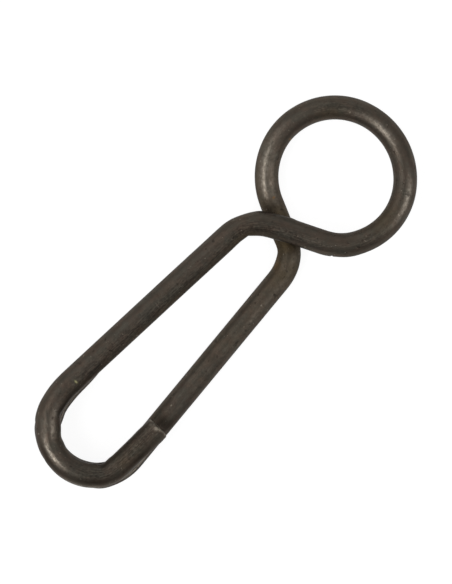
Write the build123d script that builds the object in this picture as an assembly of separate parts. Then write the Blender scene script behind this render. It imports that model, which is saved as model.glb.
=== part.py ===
from build123d import *
import os
from math import asin, cos, degrees, radians, sin, tan

# A hooklink clip: one length of round spring wire, bent cold and cut square at both ends.
# The wire makes an eye, crosses itself at the neck, runs out in two legs and ends in two
# hooks that open to opposite sides, one over the other. Millimetres and degrees throughout.
# Frame: origin at the eye's centre, half way up; +X from the hooks to the eye; +Z up.
# Inside radii and bores are what the bending pins set; the centreline adds half the wire.

# Wire
wire_d = 0.70
strand_gap = 0.02       # daylight where one strand lies over the other
end_break = 0.05        # rim of a cut end rounded over

# Eye
eye_bore = 3.33
eye_bends = 4           # equal bends, two on each side of the far point

# Upper strand, whose cut end shows from above
upper_kink = 25.0       # turn where the eye runs into the neck
upper_kink_r = 0.45
upper_neck_lean = 63.7  # neck's slant to the long axis
upper_neck_r = 0.93
upper_leg_splay = 3.5
upper_reach = 9.96      # eye centre to hook centre
upper_hook_bore = 2.24
upper_tail_turn = 39.0  # last, tighter part of the hook
upper_tail_r = 0.18
upper_tail_lean = 2.2
upper_tail_length = 1.80

# Lower strand, which the upper one covers at the hooks
lower_kink = 7.0
lower_kink_r = 0.45
lower_neck_lean = 66.8
lower_neck_r = 0.87
lower_leg_splay = 4.2
lower_reach = 10.08
lower_hook_bore = 2.08
lower_tail_turn = 29.0
lower_tail_r = 0.50
lower_tail_lean = 2.6
lower_tail_length = 1.65

wire_r = wire_d / 2
level = (wire_d + strand_gap) / 2   # height of each flat strand above or below the middle
eye_r = eye_bore / 2 + wire_r


def heading(angle, fall=0.0):
    """Unit vector at an angle round from +X, pointing down by fall."""
    flat = cos(radians(fall))
    return Vector(flat * cos(radians(angle)), flat * sin(radians(angle)), -sin(radians(fall)))


def setback(radius, turn):
    """Distance from a bend's ends to the corner that it rounds."""
    return radius * tan(radians(turn / 2))


def bend(start, along, onward, corner):
    """Arc from start, tangent to both directions, with its corner that far on."""
    return TangentArc(start, start + (along + onward) * corner, tangent=along)


def meeting(point_a, along_a, point_b, along_b):
    """How far along the first line, seen from above, the second one crosses it."""
    between = point_b - point_a
    across = along_a.X * along_b.Y - along_a.Y * along_b.X
    return (between.X * along_b.Y - between.Y * along_b.X) / across


def strand(start, kink, kink_r, neck_lean, neck_r, leg_splay, reach, hook_bore,
           tail_turn, tail_r, tail_lean, tail_length):
    """Flat course from the eye to a cut end: kink, neck, leg, hook and tail.

    Laid out as the lower strand lies; the upper one is turned over afterwards.
    """
    hook_r = hook_bore / 2 + wire_r
    eye_way = heading(180 + neck_lean - kink)
    neck_way = heading(180 + neck_lean)
    leg_way = heading(180 + leg_splay)
    hook_way = heading(tail_lean + tail_turn)
    tail_way = heading(tail_lean)

    kink_arc = bend(start, eye_way, neck_way, setback(kink_r + wire_r, kink))

    # The leg is the line that leaves the hook's circle at its tangent point.
    hook_centre = Vector(-reach, 0, start.Z)
    leg_end = hook_centre + heading(270 + leg_splay) * hook_r
    neck_turn = neck_lean - leg_splay
    neck_setback = setback(neck_r + wire_r, neck_turn)
    neck_length = meeting(kink_arc @ 1, neck_way, leg_end, leg_way) - neck_setback
    neck = Line(kink_arc @ 1, kink_arc @ 1 + neck_way * neck_length)
    neck_arc = bend(neck @ 1, neck_way, leg_way, neck_setback)
    leg = Line(neck_arc @ 1, leg_end)

    hook_turn = 180 + leg_splay - tail_lean - tail_turn
    hook_arc = bend(leg_end, leg_way, hook_way, setback(hook_r, hook_turn))
    tail_arc = bend(hook_arc @ 1, hook_way, tail_way, setback(tail_r + wire_r, tail_turn))
    tail = Line(tail_arc @ 1, tail_arc @ 1 + tail_way * tail_length)
    return [kink_arc, neck, neck_arc, leg, hook_arc, tail_arc, tail]


def eye_end(neck_lean, kink):
    """Angle round the eye, from its far point, at which a strand leaves it."""
    return 90 + neck_lean - kink


def upper_strand():
    """The lower strand's course with its own sizes, turned over about the long axis."""
    leaves = eye_end(upper_neck_lean, upper_kink)
    start = heading(leaves) * eye_r - Vector(0, 0, level)
    course = strand(start, upper_kink, upper_kink_r, upper_neck_lean, upper_neck_r,
                    upper_leg_splay, upper_reach, upper_hook_bore, upper_tail_turn,
                    upper_tail_r, upper_tail_lean, upper_tail_length)
    return [Rot(180, 0, 0) * run for run in course]


def eye():
    """Bends round the eye, falling from the upper strand's level to the lower one's."""
    first = -eye_end(upper_neck_lean, upper_kink)
    last = eye_end(lower_neck_lean, lower_kink)
    turn = (last - first) / eye_bends
    corner = setback(eye_r, turn)
    # Each joint between two bends takes the wire down by twice corner * sin(fall).
    fall = degrees(asin(level / ((eye_bends - 1) * corner)))
    at = heading(first) * eye_r + Vector(0, 0, level)
    bends = []
    for i in range(eye_bends):
        along = heading(first + 90 + i * turn, fall if i > 0 else 0)
        onward = heading(first + 90 + (i + 1) * turn, fall if i < eye_bends - 1 else 0)
        bends.append(bend(at, along, onward, corner))
        at = bends[-1] @ 1
    return bends


def lower_strand(start):
    return strand(start, lower_kink, lower_kink_r, lower_neck_lean, lower_neck_r,
                  lower_leg_splay, lower_reach, lower_hook_bore, lower_tail_turn,
                  lower_tail_r, lower_tail_lean, lower_tail_length)


def clip_wire():
    """The wire: a round section carried along its whole course, both rims eased."""
    upper = upper_strand()
    ring = eye()
    lower = lower_strand(ring[-1] @ 1)
    course = Wire(upper + ring + lower)
    section = Plane(origin=upper[-1] @ 1, z_dir=upper[-1] % 1) * Circle(wire_r)
    wire = sweep(section, path=course)
    print("wire's length", round(course.length, 3), "volume", round(wire.volume, 4))
    cut_ends = wire.faces().filter_by(GeomType.PLANE)
    return fillet(cut_ends.edges(), end_break)


os.makedirs("parts", exist_ok=True)
export_step(clip_wire(), "parts/clip_wire.step")
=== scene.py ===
from math import cos, pi, radians, sin

import bpy
import numpy as np
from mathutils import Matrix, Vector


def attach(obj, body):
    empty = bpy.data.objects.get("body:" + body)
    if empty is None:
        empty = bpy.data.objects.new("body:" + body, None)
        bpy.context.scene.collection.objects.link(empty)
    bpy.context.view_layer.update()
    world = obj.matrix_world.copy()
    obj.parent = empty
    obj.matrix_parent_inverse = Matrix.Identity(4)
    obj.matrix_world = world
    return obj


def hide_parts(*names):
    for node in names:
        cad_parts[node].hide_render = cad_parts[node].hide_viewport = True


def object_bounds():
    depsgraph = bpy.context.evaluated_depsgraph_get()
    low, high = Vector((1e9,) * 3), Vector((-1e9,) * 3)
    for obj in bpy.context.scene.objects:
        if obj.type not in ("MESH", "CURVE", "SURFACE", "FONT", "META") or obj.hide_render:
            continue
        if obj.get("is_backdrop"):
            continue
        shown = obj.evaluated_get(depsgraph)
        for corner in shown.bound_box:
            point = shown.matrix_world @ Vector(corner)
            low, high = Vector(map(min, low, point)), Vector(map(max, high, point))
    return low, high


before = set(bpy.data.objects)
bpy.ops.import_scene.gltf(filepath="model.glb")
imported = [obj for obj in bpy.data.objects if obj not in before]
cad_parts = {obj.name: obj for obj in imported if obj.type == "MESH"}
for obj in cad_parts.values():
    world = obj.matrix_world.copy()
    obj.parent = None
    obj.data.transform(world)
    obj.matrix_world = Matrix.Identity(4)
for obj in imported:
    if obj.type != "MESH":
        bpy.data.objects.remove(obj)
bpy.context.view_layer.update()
mm = 0.001
print("frame loaded")

# The wire, in millimetres and degrees, from the upper strand's cut end to the lower strand's
wire = {
    "diameter": 0.70,
    "start": (-8.793, -1.304),
    "startHeading": 177.86,
    # A straight run is (length, 0, width) and a bend is (radius of the centreline, turn, width), left turns
    # positive. Width is across the clip, as a share of the diameter: bending changes it a little.
    "runs": {
        "upperTail": (1.599, 0, 1.002),
        "upperTailBend": (0.990, -37.80, 1.021),
        "upperHookNear": (1.327, -83.18, 1.025),
        "upperHookFar": (1.616, -60.36, 0.993),
        "upperLeg": (6.437, 0, 1.037),
        "upperNeckBend": (1.284, -55.39, 1.021),
        "upperNeckEase": (5.639, -6.19, 1.044),
        "upperNeck": (1.095, 0, 1.021),
        "upperKink": (0.932, 9.36, 1.024),
        "eyeNear": (1.886, 91.77, 0.995),
        "eyeOuter": (2.088, 74.30, 0.987),
        "eyeTop": (1.965, 69.60, 1.003),
        "eyeFar": (2.024, 65.58, 0.991),
        "lowerNeck": (1.202, 0, 1.000),
        "lowerNeckBend": (0.899, -32.37, 0.967),
        "lowerNeckEase": (1.440, -28.97, 1.016),
        "lowerLeg": (6.661, 0, 1.016),
        "lowerHookFar": (1.372, -94.19, 1.033),
        "lowerHookNear": (1.485, -59.84, 1.030),
        "lowerTailBend": (0.512, -28.15, 0.993),
        "lowerTail": (1.642, 0, 0.997),
    },
    "ease": 0.10,           # half the length over which a bend runs into its neighbour
    "widthEase": 0.4,       # the length over which one width becomes the next
    "level": 0.36,          # of each flat strand, above or below the middle
    "levelEase": 1.2,
    "rim": 0.06,            # rounding of the cut ends
    "rimRings": 6,
    "faceRings": 8,         # from the rim of a cut face to its middle
    "rimClear": 1.2,        # how far from an end the plain rings stop, in rims
    "endBow": 0.02,         # how far a cut end bulges
    "burr": 0.004,          # lip that the cutter raised round each end
    "burrLength": 0.05,
    "stations": 1300,
    "around": 74,
    # What the bending pins and the cutter left: (run, share of it, angle round, height, length, spread).
    # Angle 0 is the wire's left as it runs and 90 its top, and a height below zero is a dent. Each fades
    # softly, unless a last number of 1 makes it a crease.
    "leftMarks": {
        "neckPinch": ("upperNeckBend", 0.445, 180, -0.060, 0.20, 60, 1),
        "neckFlat": ("upperNeckBend", 0.42, 0, -0.014, 0.20, 50),
        "neckHump": ("upperNeckBend", 0.80, 0, 0.022, 0.16, 50),
        "kinkShoulder": ("upperNeckEase", 0.95, 0, 0.014, 0.12, 50),
        "hookPinchFar": ("upperTailBend", 0.80, 180, -0.030, 0.18, 60),
        "hookOuterFlat": ("upperHookFar", 0.18, 0, 0.038, 0.32, 45),
        "hookOuterEase": ("upperHookFar", 0.36, 0, 0.029, 0.15, 45),
        "hookNearSide": ("upperHookNear", 0.74, 0, 0.009, 0.12, 50),
        "hookInnerFlat": ("upperHookFar", 0.80, 180, 0.022, 0.35, 45),
        "lowerHookFlat": ("lowerHookNear", 0.82, 180, 0.020, 0.25, 50),
        "lowerHookStart": ("lowerHookFar", 0.10, 0, -0.014, 0.38, 50),
        "lowerHookSwell": ("lowerHookFar", 0.47, 0, 0.034, 0.26, 50),
        "lowerHookInside": ("lowerHookFar", 0.70, 180, 0.007, 0.25, 50),
        "lowerHookWaist": ("lowerHookNear", 0.05, 180, -0.009, 0.25, 50),
        "hookBulge": ("upperHookNear", 0.90, 180, 0.009, 0.12, 50),
        "tailSide": ("upperTail", 0.28, 180, 0.010, 0.25, 50),
        "tailFoot": ("upperTail", 0.15, 0, 0.012, 0.12, 50),
        "tailCorner": ("upperTailBend", 0.12, 180, 0.010, 0.10, 50),
        "kinkRidge": ("upperKink", 0.75, 0, 0.006, 0.12, 55, 1),
        "hookPinch": ("upperTailBend", 0.55, 180, -0.020, 0.15, 60, 1),
        "eyeSwell": ("eyeNear", 0.18, 180, 0.010, 0.25, 60),
        "nick": ("eyeNear", 0.035, 180, -0.024, 0.022, 30),
    },
    # Where hand bending left the course a little to one side: (run, share of it, shift to its left, length)
    "sways": {
        "hookCorner": ("upperTailBend", 0.80, 0.013, 0.18),
        "hookFlat": ("upperHookNear", 0.25, 0.004, 0.42),
        "hookSide": ("upperHookNear", 0.80, -0.017, 0.30),
        "hookRise": ("upperHookFar", 0.22, -0.036, 0.28),
        "hookShoulder": ("upperHookFar", 0.48, 0.031, 0.28),
        "legTop": ("upperLeg", 0.95, -0.005, 1.0),
        "eyeStart": ("eyeNear", 0.18, -0.008, 0.30),
        "eyeSide": ("eyeNear", 0.97, -0.001, 0.40),
        "eyeShoulder": ("eyeFar", 0.10, -0.008, 0.60),
        "lowerNeck": ("lowerNeckBend", 0.6, 0.002, 0.5),
        "lowerHookFoot": ("lowerHookFar", 0.25, 0.020, 0.65),
        "lowerHookTurn": ("lowerHookNear", 0.35, 0.026, 0.35),
        "lowerHookRise": ("lowerHookNear", 0.75, 0.029, 0.28),
        "lowerHookSide": ("lowerTailBend", 0.2, -0.104, 0.36),
        "lowerTailRoot": ("lowerTail", 0.2, -0.020, 0.32),
        "lowerTailTip": ("lowerTail", 0.80, -0.040, 0.60),
    },
}


def smoothed(values, window):
    # running mean over a window of stations, with the ends held
    reach = max(1, int(window) // 2)
    held = np.concatenate([np.full(reach, values[0]), values, np.full(reach, values[-1])])
    return np.convolve(held, np.ones(2 * reach + 1) / (2 * reach + 1), mode="valid")


def wireCourse(spec):
    # heading is interpolated between the ends of the runs, the place is the running sum of
    # (cos heading, sin heading) times the step, and a sway adds shift * exp(-(distance / length) ^ 2)
    sizes = np.array(list(spec["runs"].values()))
    turns = np.radians(sizes[:, 1])
    lengths = np.where(turns == 0, sizes[:, 0], sizes[:, 0] * np.abs(turns))
    knots = np.concatenate([[0], np.cumsum(lengths)])
    headings = radians(spec["startHeading"]) + np.concatenate([[0], np.cumsum(turns)])
    spans = dict(zip(spec["runs"], zip(knots[:-1], knots[1:])))
    along = np.linspace(0, knots[-1], spec["stations"])
    step = along[1]
    heading = smoothed(np.interp(along, knots, headings), 2 * spec["ease"] / step)
    halfway = (heading[1:] + heading[:-1]) / 2
    x = spec["start"][0] + np.concatenate([[0], np.cumsum(np.cos(halfway))]) * step
    y = spec["start"][1] + np.concatenate([[0], np.cumsum(np.sin(halfway))]) * step
    falls = [spans["upperKink"][1], spans["eyeFar"][1]]
    z = smoothed(np.interp(along, falls, [spec["level"], -spec["level"]]), spec["levelEase"] / step)
    shift = np.zeros(len(along))
    for run, share, left, length in spec["sways"].values():
        first, last = spans[run]
        shift += left * np.exp(-((along - first - share * (last - first)) / length) ** 2)
    x -= shift * np.sin(heading)
    y += shift * np.cos(heading)
    run = np.clip(np.searchsorted(knots, along, side="right") - 1, 0, len(sizes) - 1)
    width = smoothed(sizes[run, 2], spec["widthEase"] / step)
    return along, np.column_stack([x, y, z]), width, spans


def turnedFrom(angle, middle):
    # shortest way round from middle to angle
    return (angle - middle + pi) % (2 * pi) - pi


def markHeights(marks, spans, along, angle):
    # height * exp(-|distance / length| ^ sharpness) * exp(-(turn / spread) ^ 2), added up over the marks
    heights = np.zeros((len(along), len(angle)))
    for run, share, middle, height, length, spread, *crease in marks.values():
        sharpness = crease[0] if crease else 2
        first, last = spans[run]
        away = np.abs(along - first - share * (last - first)) / length
        turn = turnedFrom(angle, radians(middle)) / radians(spread)
        heights += height * np.exp(-away ** sharpness)[:, None] * np.exp(-turn ** 2)[None, :]
    return heights


def tubeSurface(spec):
    # a point is centre + reach * (width * cos angle * side + sin angle * top), with side to the
    # wire's left and top square to both; the ends close over a rounded rim and a bowed face
    along, centres, width, spans = wireCourse(spec)
    ahead = np.gradient(centres, axis=0)
    ahead /= np.linalg.norm(ahead, axis=1)[:, None]
    side = np.cross([0, 0, 1], ahead)
    side /= np.linalg.norm(side, axis=1)[:, None]
    top = np.cross(ahead, side)

    radius, rim = spec["diameter"] / 2, spec["rim"]
    rimTurn = np.linspace(0, pi / 2, spec["rimRings"])
    faceShare = np.linspace(1, 0, spec["faceRings"])[1:]
    capRadius = np.concatenate([radius - rim + rim * np.cos(rimTurn), (radius - rim) * faceShare])
    capOut = np.concatenate([rim * np.sin(rimTurn) - rim, spec["endBow"] * (1 - faceShare ** 2)])
    clear = rim * spec["rimClear"]
    keep = np.flatnonzero((along > clear) & (along < along[-1] - clear))
    caps = np.zeros(len(capOut), int)
    station = np.concatenate([caps, keep, caps + len(along) - 1])
    push = np.concatenate([-capOut[::-1], np.zeros(len(keep)), capOut])
    size = np.concatenate([capRadius[::-1], np.full(len(keep), radius), capRadius])
    laidAlong = along[station] + push

    angle = np.linspace(0, 2 * pi, spec["around"], endpoint=False)
    share = (size / radius)[:, None]
    toEnd = np.minimum(laidAlong, along[-1] - laidAlong)[:, None]
    reach = size[:, None] + share * markHeights(spec["leftMarks"], spans, laidAlong, angle)
    reach = reach + share * spec["burr"] * np.exp(-(toEnd / spec["burrLength"]) ** 2)
    left, up = (side[station] * width[station, None])[:, None, :], top[station][:, None, :]
    outward = np.cos(angle)[None, :, None] * left + np.sin(angle)[None, :, None] * up
    middles = centres[station] + push[:, None] * ahead[station]
    points = middles[:, None, :] + reach[:, :, None] * outward
    laid = np.stack([np.broadcast_to(laidAlong[:, None], reach.shape),
                     reach * np.cos(angle), reach * np.sin(angle)], axis=-1)
    return points, laid, spans


def ringsThenPoles(grid):
    # the rings' values in a row, then one value each for the first and last ring, which have no size
    return np.concatenate([grid[1:-1].reshape(-1, *grid.shape[2:]), grid[[0, -1], 0]])


def closedTube(name, points, laid):
    # each point of a ring makes a quad with the next one round and the same two of the next ring,
    # and a fan of triangles round each pole closes the ends
    rings, around = points.shape[:2]
    pole = (rings - 2) * around
    here = np.arange(pole).reshape(rings - 2, around)
    beside = np.roll(here, -1, axis=1)
    quads = np.stack([here[:-1], beside[:-1], beside[1:], here[1:]], axis=-1).reshape(-1, 4)
    startFan = np.column_stack([np.full(around, pole), beside[0], here[0]])
    endFan = np.column_stack([np.full(around, pole + 1), here[-1], beside[-1]])
    mesh = bpy.data.meshes.new(name)
    faces = quads.tolist() + startFan.tolist() + endFan.tolist()
    mesh.from_pydata(ringsThenPoles(points) * mm, [], faces)
    straight = mesh.attributes.new("laidStraight", "FLOAT_VECTOR", "POINT")
    straight.data.foreach_set("vector", ringsThenPoles(laid).ravel())
    mesh.polygons.foreach_set("use_smooth", np.ones(len(mesh.polygons), bool))
    mesh.update()
    piece = bpy.data.objects.new(name, mesh)
    bpy.context.scene.collection.objects.link(piece)
    return piece


points, laid, spans = tubeSurface(wire)
clip = closedTube("springWire", points, laid)
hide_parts("clip_wire")
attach(clip, "root")
print("wire bent,", len(clip.data.loops) - 2 * len(clip.data.polygons), "triangles")


def linear(hexColour):
    # sRGB hex to linear: c / 12.92 below 0.04045, otherwise ((c + 0.055) / 1.055) to the power 2.4
    srgb = np.array([int(hexColour[i:i + 2], 16) for i in (1, 3, 5)]) / 255
    rgb = np.where(srgb <= 0.04045, srgb / 12.92, ((srgb + 0.055) / 1.055) ** 2.4)
    return (*rgb.tolist(), 1.0)


def addNode(tree, kind, inputs, output=0, **settings):
    # a new node with its settings and with each input linked or given its value, a colour in hex;
    # sockets go by name or number, and what comes back is the one output that is asked for. A Mix
    # node's input 0 is the share, 2 and 3 are its two numbers, 6 and 7 its two colours.
    node = tree.nodes.new("ShaderNode" + kind)
    for name, value in settings.items():
        setattr(node, name, value)
    for name, value in inputs.items():
        if isinstance(value, bpy.types.NodeSocket):
            tree.links.new(value, node.inputs[name])
        else:
            node.inputs[name].default_value = linear(value) if isinstance(value, str) else value
    return node.outputs[output] if node.outputs else node


def newMaterial(name):
    # a material with an empty node tree
    material = bpy.data.materials.new(name)
    material.use_nodes = True
    material.node_tree.nodes.clear()
    return material, material.node_tree


# Spring steel wire, drawn, bent cold and blackened in a hot oxide bath: a dark, warm, satin metal with
# a fine pitted grain, faint draw lines, and paler, smoother places where rubbing has thinned the black.
# Their paler colour is also painted highlight and rim light, and the darkest colour is painted shade.
# Sizes are in millimetres. The real grain, about 0.01, is drawn several times as coarse, so that it shows.
steel = {
    "colour": "#50463E",
    "cool": "#4B4740",          # where the oxide is thick
    "brown": "#544834",         # a thin film of rust in sheltered places
    "rust": "#80561F",          # small spots where the rust has come through
    "dirtAndShade": "#261E17",         # painted shade in corners, along edges and where the strands touch, with oil and dust there too
    "pit": "#26211C",
    "wornAndHighlight": "#888075",          # the black thinned by rubbing, and painted highlights and rim light
    "bare": "#A69D8E",          # sheared ends and flecks
    "grit": "#A7A276",          # a grain of something pale stuck to the wire
    "metallic": 0.87,
    "edgeTint": 0.5,
    "roughness": 0.40,
    "wornRoughness": 0.25,
    "rustRoughness": 0.62,
    "dirtAndShadeRoughness": 0.60,
    "grainDepth": 0.013,
    # Each noise: size of its bumps across the wire, size along it, detail, roughness, and how far it is
    # moved along, so that no two are alike
    "noises": {
        "grain": (0.10, 0.10, 3, 0.6, 0),
        "mottle": (0.30, 0.42, 3, 0.5, 3.1),
        "lines": (0.034, 0.48, 0, 0.5, 7.7),
        "dashes": (0.0442, 0.09, 1, 0.5, 13.9),
        "film": (0.9, 0.9, 4, 0.5, 11.3),
        "spots": (0.16, 0.16, 1, 0.5, 19.3),
        "flecks": (0.075, 0.075, 0, 0.5, 23.3),
        "tone": (0.22, 0.35, 3, 0.65, 41.0),
        "patches": (0.12, 0.12, 2, 0.5, 31.0),
    },
    "sideways": 0.37,           # how far a noise is moved round the wire, as a share of that
    # Each range: what it reads, a low and a high value of that, and what it gives at the two
    "ranges": {
        "coolness": ("tone", 0.36, 0.64, 0, 1),
        "filmBrown": ("film", 0.36, 0.58, 0.35, 1),
        "paintedBrown": ("rusted", 0, 1, 0.08, 1),
        "wornAndHighlightGrain": ("grain", 0.38, 0.58, 0.50, 1),
        "filmSoilAndShade": ("film", 0.35, 0.60, 1, 0.60),
        "grainLight": ("grain", 0.30, 0.70, 0.95, 1.05),
        "mottleLight": ("mottle", 0.30, 0.70, 0.90, 1.10),
        "lineLight": ("lines", 0.38, 0.58, 0.66, 1.04),
        "dashLight": ("dashes", 0.40, 0.56, 0.68, 1.06),
        "lineShare": ("scraped", 0, 1, 0.08, 1),
        "pitting": ("spots", 0.66, 0.76, 0, 0.5),
        "flecking": ("flecks", 0.80, 0.86, 0, 0.3),
        "nearEnd": ("alongWire", 0, 0.03, 1, 0),
        "endPatches": ("patches", 0.35, 0.60, 0.10, 0.60),
        "mottleRough": ("mottle", 0.30, 0.70, 0.05, -0.05),
    },
    # What is painted on the wire: (run, share of it, angle round, strength, length, spread)
    "painted": {
        # Painted highlights: paler, smoother colour laid where the lamps' highlights and the rims' light
        # fall, in part where rubbing has thinned the black
        "rubbedAndHighlit": {
            "eyeOuter": ("eyeOuter", 0.68, 82, 0.92, 0.60, 15),
            "eyeFar": ("eyeFar", 0.53, 106, 0.7, 0.90, 26),
            "eyeFarStreak": ("eyeFar", 0.80, 103, 0.35, 0.24, 11),
            "eyeNear": ("eyeNear", 0.87, 114, 0.75, 0.65, 13),
            "hook": ("upperHookNear", 0.62, 80, 0.60, 0.23, 9),
            "hookTurn": ("upperHookNear", 0.85, 66, 1.0, 0.36, 9),
            "hookRise": ("upperHookFar", 0.14, 54, 0.35, 0.35, 11),
            "hookRim": ("upperHookNear", 0.20, 21, 0.9, 0.60, 8),
            "hookInner": ("upperHookFar", 0.19, 105, 0.55, 0.3, 12),
            "hookShoulder": ("upperHookFar", 0.47, 119, 0.35, 0.26, 14),
            "eyeFoot": ("eyeFar", 0.74, 60, 0.30, 0.60, 22),
            "aboveCrossing": ("lowerNeck", 0.0, 66, 0.35, 0.17, 22),
            "lowerLeg": ("lowerLeg", 0.10, 58, 0.22, 1.7, 20),
            "strandsInside": ("lowerTailBend", 0.5, 147, 1.0, 1.2, 8),
            "strandsOutside": ("lowerHookFar", 0.12, 38, 1.0, 0.9, 9),
        },
        "scraped": {
            "neck": ("upperNeck", 0.1, 106, 1.0, 0.75, 25),
            "neckBend": ("upperNeckBend", 0.5, 108, 0.9, 0.65, 32),
            "upperLeg": ("upperLeg", 0.5, 117, 1.0, 3.4, 33),
            "hook": ("upperLeg", 0.13, 112, 0.45, 0.5, 25),
            "hookFoot": ("upperHookNear", 0.08, 96, 0.95, 0.7, 36),
            "tail": ("upperTail", 0.5, 100, 1.0, 0.9, 35),
            "lowerLeg": ("lowerLeg", 0.6, 90, 0.2, 2.8, 60),
            "eyeTop": ("eyeTop", 0.30, 98, 1.0, 0.8, 25),
            "eyeNear": ("eyeNear", 0.38, 105, 0.7, 0.5, 24),
        },
        "rusted": {
            "eyeFar": ("eyeFar", 0.70, 90, 0.45, 1.0, 100),
            "lowerNeck": ("lowerNeck", 0.0, 65, 0.5, 0.35, 50),
            "underCrossing": ("lowerNeckBend", 0.5, 90, 1.0, 1.0, 110),
            "eyeNear": ("eyeNear", 0.6, 60, 0.5, 0.6, 50),
            "lowerLeg": ("lowerLeg", 0.2, 90, 0.2, 1.6, 80),
            "upperLegInside": ("upperLeg", 0.5, 155, 0.35, 3.2, 25),
            "neckInside": ("upperNeckBend", 0.5, 150, 0.5, 0.9, 30),
            "tail": ("upperTail", 0.75, 100, 0.4, 0.5, 50),
            "eyeTop": ("eyeTop", 0.35, 60, 0.5, 0.5, 25),
        },
        # Painted shade: dark colour where the strands touch and cross, inside the bends and along the
        # strands' edges, with some oil and dust
        "dirtAndShade": {
            "aboveCrossing": ("lowerNeck", 0.10, 106, 0.75, 0.18, 48),
            "eyeFoot": ("eyeFar", 0.96, 107, 0.35, 0.12, 22),
            "neckMiddle": ("upperNeckEase", 0.3, 101, 0.32, 0.25, 24),
            "belowCrossing": ("lowerNeckBend", 0.10, 70, 0.6, 0.34, 75),
            "beyondEnd": ("lowerLeg", 0.792, 75, 0.85, 0.24, 60),
            "lowerLeg": ("lowerLeg", 0.70, 38, 0.4, 0.5, 13),
            "tailOutside": ("upperTail", 0.66, 43, 0.95, 0.85, 16),
            "bendOutside": ("upperHookNear", 0.12, 57, 0.9, 0.55, 15),
            "hookOutside": ("upperHookNear", 0.74, 41, 0.9, 0.45, 12),
            "hookSide": ("upperHookFar", 0.05, 42, 0.2, 0.25, 13),
            "hookInside": ("upperHookFar", 0.75, 151, 0.8, 0.70, 9),
            "cornerInside": ("upperTailBend", 0.93, 155, 0.9, 0.22, 13),
            "bendInside": ("upperHookNear", 0.32, 159, 0.55, 0.75, 11),
            "betweenStrands": ("lowerTailBend", 0.3, 133, 0.9, 0.40, 8),
            "footInside": ("lowerHookFar", 0.44, 166, 0.8, 0.32, 22),
            "insideEdge": ("lowerTailBend", 0.5, 158, 0.8, 1.2, 8),
            "outsideEdge": ("lowerHookFar", 0.12, 24, 0.8, 0.9, 8),
        },
        "rustSpots": {
            "eyeFar": ("eyeFar", 0.945, 72, 0.9, 0.030, 7),
            "eyeRim": ("eyeFar", 0.067, 22, 0.8, 0.030, 10),
            "belowCrossing": ("lowerNeckEase", 0.46, 142, 0.22, 0.16, 20),
        },
        "bared": {
            "endPatch": ("upperTail", 0.044, 94, 0.75, 0.050, 9),
            "endLine": ("upperTail", 0.005, 78, 0.7, 0.03, 9),
            "endFlick": ("upperTail", 0.015, 118, 0.25, 0.03, 6),
            "endCorner": ("upperTail", 0.010, 150, 0.4, 0.04, 12),
            "endNick": ("upperTail", 0.070, 133, 0.35, 0.04, 8),
            "endFoot": ("upperTail", 0.0, 32, 0.6, 0.035, 12),
        },
        "gritty": {
            "speck": ("upperLeg", 0.049, 107, 0.95, 0.021, 8.5),
        },
    },
}

# The painted marks' strengths go on the wire as one number for each vertex
angle = np.linspace(0, 2 * pi, wire["around"], endpoint=False)
for name, marks in steel["painted"].items():
    strength = ringsThenPoles(markHeights(marks, spans, laid[:, 0, 0], angle))
    painted = clip.data.attributes.new(name, "FLOAT", "POINT")
    painted.data.foreach_set("value", np.clip(strength, 0, 1))

blackened, tree = newMaterial("blackenedSpringSteel")
place = addNode(tree, "Attribute", {}, output="Vector", attribute_name="laidStraight")

# Every number that the colour and the polish are made from, by its name
value = {"alongWire": addNode(tree, "SeparateXYZ", {0: place})}
for name in steel["painted"]:
    value[name] = addNode(tree, "Attribute", {}, output="Fac", attribute_name=name)
for name, (across, lengthways, detail, rough, shift) in steel["noises"].items():
    moved = addNode(tree, "Mapping", {
        "Vector": place, "Scale": (1 / lengthways, 1 / across, 1 / across),
        "Location": (shift, shift * steel["sideways"], 0)})
    value[name] = addNode(tree, "TexNoise", {
        "Vector": moved, "Scale": 1, "Detail": detail, "Roughness": rough})
for name, (source, low, high, toLow, toHigh) in steel["ranges"].items():
    value[name] = addNode(tree, "MapRange", {
        "Value": value[source], "From Min": low, "From Max": high, "To Min": toLow, "To Max": toHigh})

# Draw lines and short scrapes darken the scraped places fully and the rest of the wire a little
scrapes = addNode(tree, "Math", {0: value["lineLight"], 1: value["dashLight"]}, operation="MULTIPLY")
value["scrapes"] = addNode(tree, "Mix", {0: value["lineShare"], 2: 1, 3: scrapes})
for name, first, second, operation in (
        ("brownness", "filmBrown", "paintedBrown", "MULTIPLY"),
        ("wearAndHighlight", "rubbedAndHighlit", "wornAndHighlightGrain", "MULTIPLY"),
        ("soilAndShade", "dirtAndShade", "filmSoilAndShade", "MULTIPLY"),
        ("lightness", "grainLight", "mottleLight", "MULTIPLY"),
        ("lightness", "lightness", "scrapes", "MULTIPLY"),
        ("sheared", "nearEnd", "endPatches", "MULTIPLY"),
        ("sheared", "sheared", "bared", "MAXIMUM"),
        ("height", "grain", "pitting", "SUBTRACT")):
    value[name] = addNode(tree, "Math", {0: value[first], 1: value[second]}, operation=operation)

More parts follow.
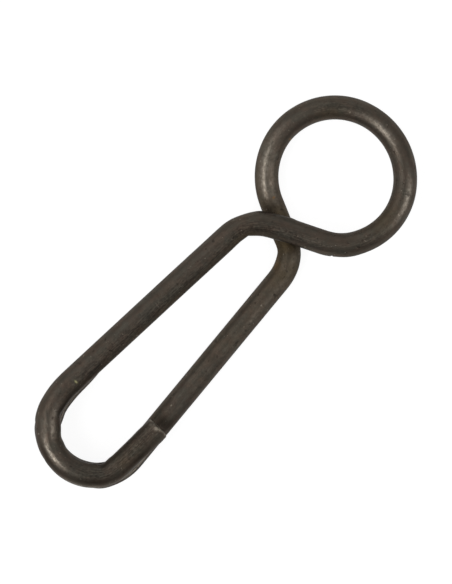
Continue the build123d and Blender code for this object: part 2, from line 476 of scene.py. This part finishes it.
# The oxide and what has come over it, painted highlights and painted shade among that, are shaded by the
# grain, and pits, flecks and bare metal go on last
colour = steel["colour"]
for share, over in (("coolness", "cool"), ("brownness", "brown"), ("rustSpots", "rust"),
                    ("wearAndHighlight", "wornAndHighlight"), ("soilAndShade", "dirtAndShade")):
    colour = addNode(tree, "Mix", {0: value[share], 6: colour, 7: steel[over]}, output=2, data_type="RGBA")
colour = addNode(tree, "VectorMath", {0: colour, "Scale": value["lightness"]}, operation="SCALE")
for share, over in (("pitting", "pit"), ("flecking", "bare"), ("sheared", "bare"), ("gritty", "grit")):
    colour = addNode(tree, "Mix", {0: value[share], 6: colour, 7: steel[over]}, output=2, data_type="RGBA")
roughness = steel["roughness"]
for share, over in (("wearAndHighlight", "wornRoughness"), ("brownness", "rustRoughness"),
                    ("soilAndShade", "dirtAndShadeRoughness")):
    roughness = addNode(tree, "Mix", {0: value[share], 2: roughness, 3: steel[over]})
roughness = addNode(tree, "Math", {0: roughness, 1: value["mottleRough"]}, operation="ADD")
bump = addNode(tree, "Bump", {
    "Strength": 1, "Distance": steel["grainDepth"] * mm, "Height": value["height"]})
shader = addNode(tree, "BsdfPrincipled", {
    "Base Color": colour, "Metallic": steel["metallic"], "Roughness": roughness, "Normal": bump,
    "Specular Tint": (steel["edgeTint"],) * 3 + (1,)})
addNode(tree, "OutputMaterial", {"Surface": shader})
clip.data.materials.append(blackened)
print("materials made")

# The studio: azimuths are round from the picture's right, tilts from straight overhead
studio = {
    "turn": 46.28,              # the clip's long axis, round from the picture's right
    "world": 0.31,
    "floorGlow": 0.90,
    "floorColour": "#7A7A7A",
    "floorHalf": 0.6,           # half the floor's side, in metres
    "lampDistance": 0.30,
    # Each lamp: azimuth, tilt, width in metres, level
    "lamps": {
        "leftSoft": (180, 58, 0.45, 0.22),
        "leftHigh": (170, 35, 0.16, 0.06),
        "leftSmall": (205, 30, 0.10, 0.13),
        "leftNear": (225, 40, 0.14, 0.10),
        "farSoft": (120, 50, 0.30, 0.13),
        "farRight": (75, 60, 0.30, 0.11),
        "rightLow": (350, 60, 0.20, 0.12),
        "rightSmall": (342, 40, 0.14, 0.10),
        "rightHigh": (0, 20, 0.14, 0.07),
    },
}


def lampPlace(azimuth, tilt, distance):
    # distance * (sin tilt * cos azimuth, sin tilt * sin azimuth, cos tilt), in the clip's own frame
    turned, tipped = radians(azimuth - studio["turn"]), radians(tilt)
    return distance * np.array([sin(tipped) * cos(turned), sin(tipped) * sin(turned), cos(tipped)])


def softLamp(name, azimuth, tilt, across, level):
    # level is what a white sheet facing the lamp would render as: power = level * pi^2 * distance^2
    distance = studio["lampDistance"]
    lamp = bpy.data.lights.new(name, "AREA")
    lamp.shape = "DISK"
    lamp.size = across
    lamp.energy = level * pi ** 2 * distance ** 2
    holder = bpy.data.objects.new(name, lamp)
    holder.location = lampPlace(azimuth, tilt, distance)
    holder.rotation_euler = (-holder.location).to_track_quat("-Z", "Y").to_euler()
    holder.visible_camera = False
    bpy.context.scene.collection.objects.link(holder)


for name, (azimuth, tilt, across, level) in studio["lamps"].items():
    softLamp(name, azimuth, tilt, across, level)

world = bpy.data.worlds.new("studioAir")
bpy.context.scene.world = world
world.use_nodes = True
world.node_tree.nodes["Background"].inputs["Color"].default_value = (1, 1, 1, 1)
world.node_tree.nodes["Background"].inputs["Strength"].default_value = studio["world"]

# The floor is level with the wire's lowest point
half, floorHeight = studio["floorHalf"], points[..., 2].min() * mm
corners = [(x, y, floorHeight) for x, y in ((-half, -half), (half, -half), (half, half), (-half, half))]
floorMesh = bpy.data.meshes.new("floor")
floorMesh.from_pydata(corners, [], [(0, 1, 2, 3)])
floor = bpy.data.objects.new("floor", floorMesh)
bpy.context.scene.collection.objects.link(floor)
floor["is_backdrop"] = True

# Paper that the camera, gloss and glass see as white, and that lights the clip only as a grey sheet would
paper, tree = newMaterial("whitePaperFloor")
sheet = addNode(tree, "BsdfDiffuse", {"Color": studio["floorColour"]})
glow = addNode(tree, "Emission", {"Strength": studio["floorGlow"]})
lit = addNode(tree, "AddShader", {0: sheet, 1: glow})
rays = addNode(tree, "LightPath", {}).node.outputs
seen = rays["Is Camera Ray"]
for kind in ("Is Glossy Ray", "Is Transmission Ray"):
    seen = addNode(tree, "Math", {0: seen, 1: rays[kind]}, operation="MAXIMUM")
shown = addNode(tree, "MixShader", {0: seen, 1: sheet, 2: lit})
addNode(tree, "OutputMaterial", {"Surface": shown})
floorMesh.materials.append(paper)

# The camera looks straight down from far off. The picture is 452 by 584 pixels, and its height,
# the sensor's long side, takes in viewHeight.
view = {
    "centre": (-4.607, -0.002),
    "viewHeight": 16.945,
    "lens": 800,
    "sensor": 36,
    "nearest": 0.05,            # share of its distance at which the camera starts to see
}
camera = bpy.data.objects.new("camera", bpy.data.cameras.new("camera"))
camera.data.lens = view["lens"]
camera.data.sensor_width = view["sensor"]
distance = view["viewHeight"] * mm * view["lens"] / view["sensor"]
camera.location = (view["centre"][0] * mm, view["centre"][1] * mm, distance)
camera.rotation_euler = (0, 0, radians(-studio["turn"]))
camera.data.clip_start = distance * view["nearest"]
bpy.context.scene.collection.objects.link(camera)
bpy.context.scene.camera = camera
bpy.context.scene.view_settings.view_transform = "Standard"
print("studio set")

low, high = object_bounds()
